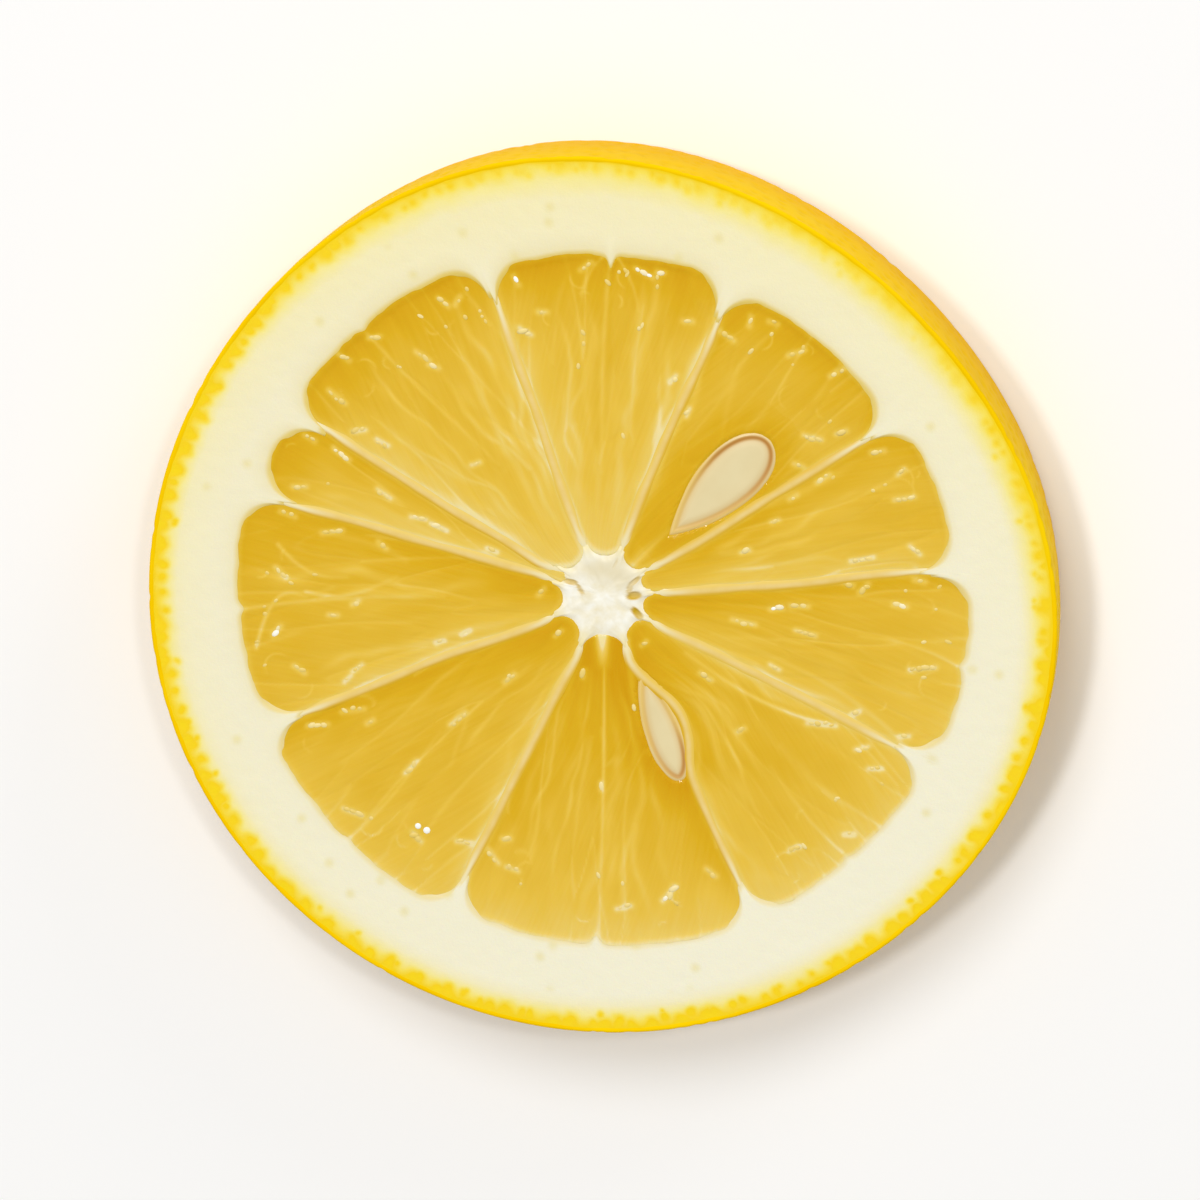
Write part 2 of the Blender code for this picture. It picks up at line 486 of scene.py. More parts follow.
def buildPith():
    # (distance from the inner edge, share of the way from there to the skin, height)
    lip, wide = pith["lip"], pith["lipWidth"]
    edge = []
    for share in (-0.35, -0.2, 0, 0.2, 0.4, 0.6, 0.8, 1):
        dive = 0.4 * max(0, -wide * share)  # in under the pulp
        edge.append((wide * share - pith["lipReach"], lip * (1 - share) ** 2 + dive))
    wide -= pith["lipReach"]
    profile = [(inset, 0, thickness - down) for inset, down in edge]
    for row in range(1, pith["topRows"] + 1):
        profile.append((wide, (row / pith["topRows"]) ** 0.75, thickness))
    profile.append((wide, 1, thickness / 2))
    for row in range(pith["bottomRows"] + 1):
        profile.append((wide, 1 - row / pith["bottomRows"], 0))
    profile += [(inset, 0, down) for inset, down in reversed(edge[:-1])]
    profile.append((edge[0][0], 0, thickness / 2))
    bm = rolledGrid(pith["steps"], len(profile), ring=True)

    random = np.random.default_rng(21)
    glandCount = round(turn * faceRadius / pith["glandSpacing"])
    apart = turn / glandCount
    glands = []  # direction from the stem, depth, size
    for number in range(glandCount):
        where = (number + random.uniform(-0.45, 0.45)) * apart
        deep = pith["glandDepth"] + random.normal(0, 0.17)
        glands.append((where, deep, random.uniform(0.6, 1.5)))
        if random.random() < 0.2:  # a few lie deeper
            where += random.uniform(-0.4, 0.4) * apart
            deep = pith["glandDepth"] + random.uniform(0.35, 0.7)
            glands.append((where, deep, random.uniform(0.5, 0.8)))

    def shape(x, y, z, layers):
        angle, inset, share, z = onProfile(profile, layers)
        inner = segmentEnds(angle)[1] - pithDip(angle) + inset
        coreX, coreY = lemon["core"]
        outer = rindRadius(angle, z) - pith["underRind"]
        innerX, innerY = laid(coreX, coreY, inner, 0, angle)
        outerX, outerY = laid(stemX, stemY, outer, 0, angle)
        placeX, placeY = innerX + (outerX - innerX) * share, innerY + (outerY - innerY) * share
        around = np.arctan2(placeY - stemY, placeX - stemX)
        depth = rindRadius(around, z) - np.hypot(placeX - stemX, placeY - stemY)
        gland = np.zeros(len(x))
        frayX = 0.35 * softNoise(placeX / 0.7 + 60, placeY / 0.7 + 60, 26)
        frayY = 0.35 * softNoise(placeX / 0.7 + 30, placeY / 0.7 + 30, 27)
        for where, deep, size in glands:
            off = ((around - where + math.pi) % turn - math.pi) * faceRadius / (pith["glandWidth"] * size)
            down = (depth - deep) / (pith["glandLength"] * size)
            blob = 0.8 * np.exp(-0.9 * ((off + frayX) ** 2 + (down + frayY) ** 2))
            gland = np.maximum(gland, blob)
        fade = softNoise(placeX / 9 + 20, placeY / 9 + 20, 22)
        northEast = smooth(0.5 * placeX + placeY, 0, 30)
        gland = gland * np.clip(0.95 + 0.25 * fade - 0.5 * northEast, 0.3, 1)
        distance, number = nearestSpot(placeX / 1.7 + 60, placeY / 1.7 + 60, 23)
        speck = smooth(distance, 0.34, 0.0) * (number > 0.89) * 0.5 * smooth(depth, 2.4, 3.2)
        facing = np.where(z > thickness / 2, 1.0, -1.0)
        grain = softNoise(placeX / 0.8 + 50, placeY / 0.8 + 50, 24)
        swell = softNoise(placeX / 3.5 + 50, placeY / 3.5 + 50, 25)
        sunk = 0.03 + 0.012 * grain + 0.02 * swell + 0.015 * gland
        cut = abs(z - thickness / 2) > thickness / 2 - 0.3
        height = np.where(cut, z - facing * sunk, z)
        fromPulp = np.hypot(placeX - coreX, placeY - coreY) - inner + inset
        # darker and yellower by the pulp: partly the pith's thin edge showing the pulp through it, partly
        # painted shade, stronger on the upper side
        nearPulp = 0.6 * smooth(fromPulp, 1.9, 0.2) + 0.4 * smooth(fromPulp, 0.35, 0.0)
        nearPulp = nearPulp * (0.72 + 0.28 * np.sin(angle))
        # the pulp's colour on the pith's very edge: partly soaked in, partly painted shade, stronger on the
        # upper side
        soaked = smooth(fromPulp, 0.5, -0.05) * (0.75 + 0.25 * np.sin(angle))
        # whiter towards the lower right, away from the skin
        bleached = (0.5 + 0.5 * np.cos(around + math.radians(65))) * smooth(depth, 1.5, 3.0)
        depth = depth / (1 + 0.8 * northEast) + 0.4 * northEast * smooth(depth, 0.15, 0.6)
        values = {"gland": gland, "nearPulp": nearPulp, "speck": speck, "soaked": soaked}
        return (placeX, placeY, height), {"bleached": bleached, "depth": depth, **values}

    addPiece("pith", bm, cutPeel(), shape)


core = {
    "steps": 360,
    "rings": 44,
    "hollows": 0.12,  # how deep a torn hollow is
    "cavities": (  # x, y, half its length, half its width, turn in degrees, depth as a share
        (2.15, 0.05, 0.42, 0.24, 10, 1.0),
        (1.85, 0.55, 0.4, 0.16, 75, 0.6),
        (2.2, 1.05, 0.42, 0.14, 40, 0.8),
        (2.35, -1.25, 0.42, 0.2, -55, 0.8),
        (-2.3, 0.95, 0.4, 0.16, -10, 0.6),
        (-1.65, 0.45, 0.38, 0.13, -60, 0.5),
        (0.9, 2.3, 0.3, 0.08, 60, 0.3),
    ),
}


def corePith():
    # the lemon's central column: white and fibrous, with small torn hollows that hold juice
    material, tree, shader = newMaterial(
        "white lemon core",
        {"IOR": 1.35, "Roughness": 0.45, "Coat Weight": 0.2, "Coat Roughness": 0.2, "Coat IOR": 1.3},
    )
    place = addNode(tree, "TexCoord", output="Object")
    fibres = addNode(tree, "TexNoise", {"Scale": 1 / (0.9 * mm), "Detail": 3}, {"Vector": place})
    white = addNode(tree, "ValToRGB", {"stops": ((0.3, "#F0E6C6"), (0.65, "#FBF8EA"))}, {"Fac": fibres})
    white = tinted(tree, white, {"stain": "#CDA600", "outward": "#F4E5AC", "glassy": "#E6D9B2"})
    relief = addNode(tree, "Bump", {"Strength": 0.3, "Distance": 0.06 * mm}, {"Height": fibres})
    linkInputs(shader, {"Base Color": white, "Normal": relief})
    return material


def unrolled(x, y, z, power):
    # where a ball's point lies in a flat, closed shape: its heading, how far out, and if it is on top
    fall = np.arccos(np.clip(z, -1, 1)) / math.pi  # 0 at the top, 1 underneath
    out = np.clip(1 - abs(fall * 2 - 1), 0, 1)
    return np.arctan2(y, x), 1 - (1 - out) ** power, fall <= 0.5


def buildCore():
    bm = bmesh.new()
    bmesh.ops.create_uvsphere(bm, u_segments=core["steps"], v_segments=core["rings"], radius=1)

    def shape(x, y, z, layers):
        angle, out, upper = unrolled(x, y, z, 1.5)
        edge = segmentEnds(angle)[0] + 0.05 * ringNoise(angle, 3, 9, 31)
        radius = edge * out
        fibre = softNoise(angle * 5 + 60, radius / 1.2 + 60, 32) * smooth(radius, 0.6, 2.2)
        lumps = softNoise(x * 4 + 20, y * 4 + 20, 33)
        fromEdge = edge - radius
        sunk = 0.03 + 0.025 * fibre + 0.03 * lumps + 0.13 * smooth(fromEdge, 0.8, 0) ** 1.5
        hollow, stain = np.zeros((2, len(x)))
        for placeX, placeY, length, width, lies, deep in core["cavities"]:
            lies = math.radians(lies) + 0.3 * fibre
            along, across = seen(*laid(0, 0, radius, 0, angle), placeX, placeY, lies)
            away = (along / length) ** 2 + (across / width) ** 2
            hollow = np.maximum(hollow, deep * smooth(away, 1.5, 0.4))
            stain = np.maximum(stain, min(1, 1.3 * deep) * smooth(away, 2.6, 0.9))
        sunk += core["hollows"] * hollow
        height = np.where(upper, thickness - sunk, sunk)
        height = np.where(out > 0.999, thickness / 2, height)
        glassy = 0.8 * smooth(radius * np.sin(angle + 0.3), 0.2, 1.6) * smooth(radius, 3.4, 2)
        values = {"stain": stain, "outward": smooth(radius, 2.3, 4.0), "glassy": glassy}
        return (*laid(*lemon["core"], radius, 0, angle), height), values

    addPiece("core", bm, corePith(), shape)


strips = {
    "along": 150,
    "around": 26,
    "thin": 0.4,  # half the width of a wall with its soaked sides, mm
    "coreEnd": 2.4,  # from the core's middle
    "cusp": 2.4,  # how far before the segments' ends it flares and meets the pith
    "pithEnd": 2.2,  # how far it runs on from there, in under the pith
    "crest": 0.075,  # how much lower than the cut it lies
}
# how pale the pulp is on a wall's clockwise and anticlockwise side: partly the walls' slant, one leaning in
# under the pulp and showing through it on one side, and partly painted light and shade, pale where light
# would shine through onto a wall and deep on the other side
wallSidesSlantedAndLit = (
    (-0.3, 0.5), (-0.3, 0.0), (-0.25, 0.4), (0.45, 0.3), (0.6, -0.3),
    (0.6, -0.4), (0.55, -0.45), (0.5, -0.2), (-0.4, 0.3), (0.3, 0.55),
)
# the pulp's tones, from deep and clear to pale and full of skins
juiceTones = ((0.0, "#D59E04"), (0.3, "#DEB01C"), (0.6, "#E9C246"), (0.8, "#ECCC64"), (1.0, "#F2DFA0"))


def segmentWall():
    # the skin between two segments: a thin, wet, pale membrane that the pulp shines through
    material, tree, shader = newMaterial(
        "wet segment membrane",
        {"IOR": 1.35, "Roughness": 0.45, "Coat Weight": 0.3, "Coat Roughness": 0.12, "Coat IOR": 1.35},
    )
    place = addNode(tree, "TexCoord", output="Object")
    patches = addNode(tree, "TexNoise", {"Scale": 1 / (1.2 * mm), "Detail": 3}, {"Vector": place})
    skin = addNode(tree, "ValToRGB", {"stops": ((0.3, "#EDD084"), (0.7, "#E9C76C"))}, {"Fac": patches})
    thick = {"data_type": "RGBA", 6: colour("#F1E4B4")}
    pale = addNode(tree, "Mix", thick, {0: "thin", 7: skin}, output=2)
    # the sides take the tone of the pulp beside them, with its painted light and shade
    beneath = addNode(tree, "ValToRGB", {"stops": juiceTones}, {"Fac": "tone"})
    soaked = addNode(tree, "Mix", {"data_type": "RGBA"}, {0: "side", 6: pale, 7: beneath}, output=2)
    linkInputs(shader, {"Base Color": soaked})
    return material


def buildWall(index, material):
    bm = rolledGrid(strips["along"], strips["around"], ring=False)

    def shape(x, y, z, layers):
        cusp = min(lemon["reach"][index - 1], lemon["reach"][index]) - strips["cusp"]
        radius = strips["coreEnd"] + (cusp + strips["pithEnd"] - strips["coreEnd"]) * layers["along"]
        flare = 0.04 * smooth(radius, 10, 6) - 0.14 * smooth(radius, 6, 4)
        flare = flare - 0.17 * smooth(radius, cusp - 1.8, cusp) - 0.05 * smooth(radius, cusp, cusp + 1)
        row = np.full(len(x), float(index))
        ripple = 0.04 * softNoise(radius / 1.5 + 10, row * 3.3, 41)
        half = strips["thin"] + flare + ripple
        crest = strips["crest"] + 0.05 * smooth(radius, cusp + 0.6, cusp + 1.4)
        crest += 0.015 * softNoise(radius / 2.2 + 5, row * 5.7, 42)
        crest = crest + 0.04 * smooth(radius, 4.4, 3.6) + 0.1 * smooth(radius, 3.8, 3.0)
        crest += 0.3 * (smooth(radius, 3.2, 2.4) + smooth(radius, cusp + 1.4, cusp + 2.2))
        side = np.clip(y, -1, 1)
        drop = 0.05 * side**2
        height = np.where(z >= 0, thickness - crest - drop, crest + drop)
        placeX, placeY = laid(*lemon["core"], radius, half * side, wallAngle(index, radius))
        thin = smooth(radius, 3.6, 7) * smooth(radius, cusp, cusp - 3.5)
        soaked = smooth(abs(side), 0.1, 0.75)
        soaked = soaked * smooth(radius, 3.7, 5.2) * smooth(radius, cusp + 0.8, cusp - 1)
        # painted light and shade: how pale the pulp beside each side of the wall is painted
        clockwise, anticlockwise = wallSidesSlantedAndLit[index]
        tone = 0.5 + 0.5 * np.where(side > 0, anticlockwise, clockwise)
        return (placeX, placeY, height), {"thin": thin, "side": soaked, "tone": tone}

    addPiece(f"wall_{index + 1:02d}", bm, material, shape)


seeds = {
    "seed_upper": {"tip": (4.8, 4.6), "round": (12.1, 11.8), "width": 4.4, "taper": 0.38, "brown": 0.2},
    "seed_lower": {"tip": (2.7, -4.9), "round": (5.4, -13.1), "width": 2.9, "taper": 0.25, "brown": -0.3},
}


def seedOutline(seed, angle):
    # a drop: its tip at angle pi and its round end at 0
    (tipX, tipY), (endX, endY) = seed["tip"], seed["round"]
    length = math.hypot(endX - tipX, endY - tipY)
    drop = np.sin(angle) * ((1 + np.cos(angle)) / 2 + 1e-9) ** seed["taper"]
    sideways = seed["width"] / 2 * drop / abs(drop).max()
    heading = math.atan2(endY - tipY, endX - tipX)
    middleX, middleY = (tipX + endX) / 2, (tipY + endY) / 2
    return laid(middleX, middleY, length / 2 * np.cos(angle), sideways, heading)


def fromSeed(seed, x, y):
    # distance to a seed's outline, less than 0 inside it
    lineX, lineY = seedOutline(seed, np.linspace(0, turn, 121)[:-1])
    middleX, middleY = lineX.mean(), lineY.mean()
    distance = np.full(len(x), 9.0)
    near = np.hypot(x - middleX, y - middleY) < 7
    away = np.hypot(x[near][:, None] - lineX, y[near][:, None] - lineY)
    closest = np.argmin(away, axis=1)
    outward = (x[near] - lineX[closest]) * (lineX[closest] - middleX)
    outward += (y[near] - lineY[closest]) * (lineY[closest] - middleY)
    distance[near] = away.min(axis=1) * np.where(outward > 0, 1, -1)
    return distance


def seedMaterial():
    # a lemon seed cut lengthways: cream shell, a thin brown coat inside it, and a smooth ivory kernel
    material, tree, shader = newMaterial(
        "cut lemon seed",
        {"IOR": 1.4, "Roughness": 0.4, "Coat Weight": 0.25, "Coat Roughness": 0.2, "Coat IOR": 1.35},
    )
    place = addNode(tree, "TexCoord", output="Object")
    share = addNode(tree, "Math", {"operation": "DIVIDE", 1: 2.0}, {0: "inward"})  # the ramp is 2 mm long
    stops = ((0.0, "#E8B93E"), (0.05, "#EBC460"), (0.12, "#F2DCA0"), (0.18, "#EAC46C"))
    stops += ((0.26, "#E0B868"), (0.34, "#E6CE98"), (0.5, "#EAD9A8"), (1.0, "#E9DAAA"))
    layers = addNode(tree, "ValToRGB", {"stops": stops}, {"Fac": share})
    clouds = addNode(tree, "TexNoise", {"Scale": 1 / (1.8 * mm), "Detail": 2}, {"Vector": place})
    cloudy = addNode(tree, "MapRange", {"To Min": 0.0, "To Max": 0.5}, {"Value": clouds})
    darker = {"data_type": "RGBA", 7: colour("#D9C38A")}
    mottled = addNode(tree, "Mix", darker, {0: cloudy, 6: layers}, output=2)
    coated = tinted(tree, mottled, {"brown": "#B26C14", "plain": "#E7C262"})
    linkInputs(shader, {"Base Color": coated})
    return material


def buildSeed(name, seed, material):
    bm = bmesh.new()
    bmesh.ops.create_uvsphere(bm, u_segments=120, v_segments=84, radius=1)

    def shape(x, y, z, layers):
        angle, out, upper = unrolled(x, y, z, 1.6)
        edgeX, edgeY = seedOutline(seed, angle)
        (tipX, tipY), (endX, endY) = seed["tip"], seed["round"]
        midX, midY = 0.42 * tipX + 0.58 * endX, 0.42 * tipY + 0.58 * endY
        placeX, placeY = midX + (edgeX - midX) * out, midY + (edgeY - midY) * out
        inward = np.maximum(-fromSeed(seed, placeX, placeY), 0)
        inward = np.where(out > 0.999, 0, inward)
        rim = 0.025 * bell(inward - 0.28, 0.2)
        groove = 0.02 * bell(inward - 0.55, 0.18)
        kernel = smooth(inward, 0.55, 1.1)
        fall = 0.1 * smooth(inward, 0.4, 0.0) ** 1.5 + 0.25 * smooth(inward, 0.08, 0.0)
        heightTop = thickness - 0.11 + rim - groove + 0.04 * kernel - fall
        heightLow = thickness - 0.6 - 2.0 * (1 - out**2)
        # the brown coat shows most round one end
        toEnd = np.clip(0.5 + seed["brown"] + 0.6 * np.cos(angle) + 0.25 * np.sin(angle * 2), 0, 1)
        brown = 0.8 * toEnd * bell(inward - 0.45, 0.17) * upper
        # the shell is plain where it has soaked up juice, on its sides and round the tip
        lengthways = 0.5 - 0.5 * np.cos(angle)
        plain = 0.75 * smooth(lengthways, 0.2, 0.6) * bell(inward, 0.5)
        plain = np.maximum(plain, 0.8 * smooth(lengthways * out, 0.82, 1))
        values = {"inward": inward, "brown": brown, "plain": plain}
        return (placeX, placeY, np.where(upper, heightTop, heightLow)), values

    addPiece(name, bm, material, shape)


pulp = {
    "across": 150,
    "along": 168,
    "below": 3,  # the underside's mesh is this many times coarser
    "begin": 2.5,  # from the core's middle
    "spare": 0.3,  # how far it runs in under the pith
    "sunk": 0.11,  # how much lower than the pith it lies
    "crown": 0.05,
    "lean": (0.2, -0.98),  # painted light: the way that the light falls across the slice, and the pulp by the pith is painted paler on that side
    "cellWidth": 2.0,  # of a juice sac at the outer end
    "cellRows": 2.0,
    "lineWidth": 0.13,
    "strandEvery": 4.6,  # degrees
    "fibre": 0.3,  # width of one
    "fibreLength": 5.0,
    # how much deeper each segment's colour is by the core
    "tips": (0.15, 0.1, 0.05, 0.08, 0.05, 0.25, 0.05, 0.15, 0.12, 0.2),
}
# single skins that show in the pulp, each from one point to another, which are given by their angle
# and distance from the core, then how far it bows, how strongly it shows and its width
fineSkins = (
    ((47.0, 3.1), (46.0, 6.8), 0.0, 0.85, 0.3), ((269.5, 3.6), (268.0, 25.2), 0.0, 0.9, 0.13),
    ((267.0, 2.8), (268.5, 4.9), 0.0, 2.8, 0.45), ((268.0, 3.4), (269.8, 6.0), 0.0, 1.4, 0.22),
    ((295.4, 3.6), (283.6, 10.1), -1.0, 0.9, 0.25), ((87.6, 24.8), (93.0, 21.4), 0.2, 0.7, 0.13),
    ((87.6, 24.8), (82.0, 20.6), -0.2, 0.7, 0.13), ((87.6, 24.4), (89.6, 8.8), 0.1, 0.5, 0.16),
    ((131.1, 24.5), (127.7, 11.7), 0.3, 0.5, 0.15), ((183.4, 25.3), (181.7, 11.2), -0.2, 0.6, 0.16),
    ((224.6, 25.7), (220.9, 15.5), 0.4, 0.45, 0.14), ((312.0, 24.5), (313.5, 16.7), -0.3, 0.45, 0.14),
    ((349.5, 25.0), (351.9, 18.0), 0.3, 0.5, 0.14), ((330.0, 17.9), (324.5, 7.0), -0.5, 1.0, 0.17),
    ((190.0, 24.9), (181.5, 20.9), -1.2, 0.9, 0.15), ((180.5, 20.9), (176.0, 14.5), 0.8, 0.7, 0.17),
    ((172.0, 23.0), (177.0, 18.0), 0.6, 0.7, 0.15), ((333.0, 24.0), (341.0, 8.0), 0.6, 0.4, 0.2),
)


def sacPattern(index, angle, radius, width, rows, seed):
    # juice sacs packed like spindles that fan out from the core: distance to the nearest skin in
    # mm, that skin's own strength, and the sac's own tone
    lower, upper = sideAngles(index, radius)
    middle, half = (lower + upper) / 2, (upper - lower) / 2
    reach = lemon["reach"][index]
    cells = 2 * float(np.mean(half)) * reach / width
    narrowing = (radius + 6) / (reach + 6)
    across = ((angle - middle + math.pi) % turn - math.pi) / half * narrowing * cells / 2
    along = (radius - 3) / (reach - 3) * rows
    across = across + 0.3 * softNoise(across * 0.7 + 30, along * 1.1 + 30, seed)
    along = along + 0.35 * softNoise(across * 1.3 + 60, along * 0.8 + 60, seed + 1)
    random = np.random.default_rng(seed + index)
    spots = []
    for row in range(-1, math.ceil(rows) + 2):
        for column in range(-math.ceil(cells), math.ceil(cells) + 1):
            nudge = random.uniform(-0.36, 0.36, 2)
            spots.append((column + 0.5 * (row % 2) + nudge[0], row + nudge[1] + 0.35 * (column % 2)))
    spots = np.array(spots)
    spots = spots[abs(spots[:, 0]) < cells / 2 + 1.5]
    square = (across[:, None] - spots[:, 0]) ** 2 + (along[:, None] - spots[:, 1]) ** 2
    own = np.argmin(square, axis=1)
    perAcross = (narrowing * cells / 2 / (half * radius))[:, None]
    perAlong = rows / (reach - 3)
    apartAcross = (spots[:, 0] - spots[own, 0][:, None]) * perAcross
    apartAlong = (spots[:, 1] - spots[own, 1][:, None]) * perAlong
    apart = np.hypot(apartAcross, apartAlong)
    skin = (square - square[np.arange(len(own)), own][:, None]) / 2 / np.maximum(apart, 1e-6)
    skin[np.arange(len(own)), own] = 99
    other = np.argmin(skin, axis=1)
    pick = np.arange(len(own))
    lengthways = abs(apartAcross[pick, other]) / np.maximum(apart[pick, other], 1e-6)
    strengths = random.random((len(spots), len(spots)))
    strengths = (strengths + strengths.T) / 2
    return skin[pick, other], strengths[own, other] * lengthways**2, random.random(len(spots))[own]


def strandLines(index, across, width, radius, random):
    # pale strands that leave the core and part on their way out; across and width are in mm
    shown, glow, flat = np.zeros((3, len(radius)))
    count = round(math.degrees(wallWidths(index)[1]) / pulp["strandEvery"])
    for number in range(count):
        share = (number + random.uniform(0.15, 0.85)) / count
        begin, end = random.uniform(2, 8), random.uniform(14, 29)
        strength, thin = random.uniform(0.2, 1) ** 1.6, random.uniform(0.15, 0.34)
        sway = 0.8 * softNoise(radius / 4.5 + random.uniform(0, 90), flat + 7.3, 61)
        sway += 0.22 * softNoise(radius / 1.8 + random.uniform(0, 90), flat + 3.3, 62)
        off = across - share * width - sway * smooth(radius, 3, 12)
        fade = smooth(radius, begin, begin + 3) * smooth(radius, end, end - 6)
        fade = fade * (0.65 + 0.5 * softNoise(radius / 2.5 + random.uniform(0, 90), flat, 63))
        shown = np.maximum(shown, strength * fade * bell(off, thin))
        glow += strength * fade * bell(off, 0.7)
        if random.random() < 0.75:
            leaves = random.uniform(6, 17)
            parting = random.choice((-1, 1)) * random.uniform(0.8, 2.2)
            off = off - parting * smooth(radius, leaves, leaves + 9) ** 0.8
            fade = smooth(radius, leaves, leaves + 0.5) * smooth(radius, leaves + 10, leaves + 5)
            shown = np.maximum(shown, 0.8 * strength * fade * bell(off, thin))
    return shown, glow


def curledSkins(index, x, y, random):
    # torn ends of skins that curl near the pith
    shown = np.zeros(len(x))
    start, width = wallWidths(index)
    for number in range(max(2, round(math.degrees(width) / 9))):
        angle = start + width * random.uniform(0.12, 0.88)
        radius = lemon["reach"][index] - random.uniform(1.0, 5.0)
        size = random.uniform(0.35, 1.0)
        offX, offY = seen(x, y, *laid(*lemon["core"], radius, 0, angle), 0)
        sweep = np.cos(np.arctan2(offY, offX) - random.uniform(0, turn))
        line = random.uniform(0.4, 0.9) * bell(np.hypot(offX, offY) - size, 0.08)
        shown = np.maximum(shown, line * smooth(sweep, random.uniform(-0.2, 0.6), 0.9))
    return shown


def skinLines(x, y):
    # the fine skins: how strongly one shows at each point
    shown = np.zeros(len(x))
    for (fromAngle, fromRadius), (toAngle, toRadius), bow, strength, width in fineSkins:
        for step in range(40):
            part = step / 39
            angle = math.radians(fromAngle + (toAngle - fromAngle) * part)
            angle += bow * 0.06 * math.sin(math.pi * part)
            radius = fromRadius + (toRadius - fromRadius) * part
            dotX, dotY = laid(*lemon["core"], radius, 0, angle)
            if step:
                lineX, lineY = dotX - beforeX, dotY - beforeY
                length = lineX**2 + lineY**2
                share = np.clip(((x - beforeX) * lineX + (y - beforeY) * lineY) / length, 0, 1)
                distance = np.hypot(x - beforeX - share * lineX, y - beforeY - share * lineY)
                fade = strength * (1 - 0.7 * part)
                shown = np.maximum(shown, fade * bell(distance, width))
            beforeX, beforeY = dotX, dotY
    return shown


def juicyPulp():
    # lemon pulp: juice sacs full of clear amber-yellow juice in pale skins, glassy wet where cut
    material, tree, shader = newMaterial(
        "juicy lemon pulp",
        {
            "IOR": 1.34,
            "Specular IOR Level": 0.1,
            "Subsurface Weight": 0.2,
            "Subsurface Scale": 0.0005,
            "Subsurface Radius": (1.0, 0.7, 0.15),
            "Coat Weight": 0.45,
            "Coat Roughness": 0.06,
            "Coat IOR": 1.3,
        },
    )
    place = addNode(tree, "TexCoord", output="Object")
    fan = addNode(tree, "UVMap", {"uv_map": "fan"})  # it counts fibres
    fibres = {"noise_dimensions": "2D", "Scale": 1.0, "Detail": 3}
    silk = addNode(tree, "TexNoise", fibres, {"Vector": fan})
    streaks = {"From Min": 0.3, "From Max": 0.7, "To Min": -0.025, "To Max": 0.025}
    streaked = addNode(tree, "MapRange", streaks, {"Value": silk})
    # the tone carries the sacs' own tones and the pulp's painted light, shade and highlights
    dull = addNode(tree, "Math", {"operation": "ADD"}, {0: "tone", 1: streaked})
    pale = addNode(tree, "Math", {"operation": "MULTIPLY", 1: 0.5}, {0: "skins"})
    level = addNode(tree, "Math", {"operation": "ADD"}, {0: dull, 1: pale})
    juice = addNode(tree, "ValToRGB", {"stops": juiceTones}, {"Fac": level})
    fine = addNode(tree, "TexNoise", {"Scale": 1 / (0.5 * mm), "Detail": 3}, {"Vector": place})
    rough = addNode(tree, "MapRange", {"To Min": 0.35, "To Max": 0.5}, {"Value": fine})
    relief = addNode(tree, "Bump", {"Strength": 0.25, "Distance": 0.03 * mm}, {"Height": silk})
    linkInputs(shader, {"Base Color": juice, "Roughness": rough, "Normal": relief})
    return material


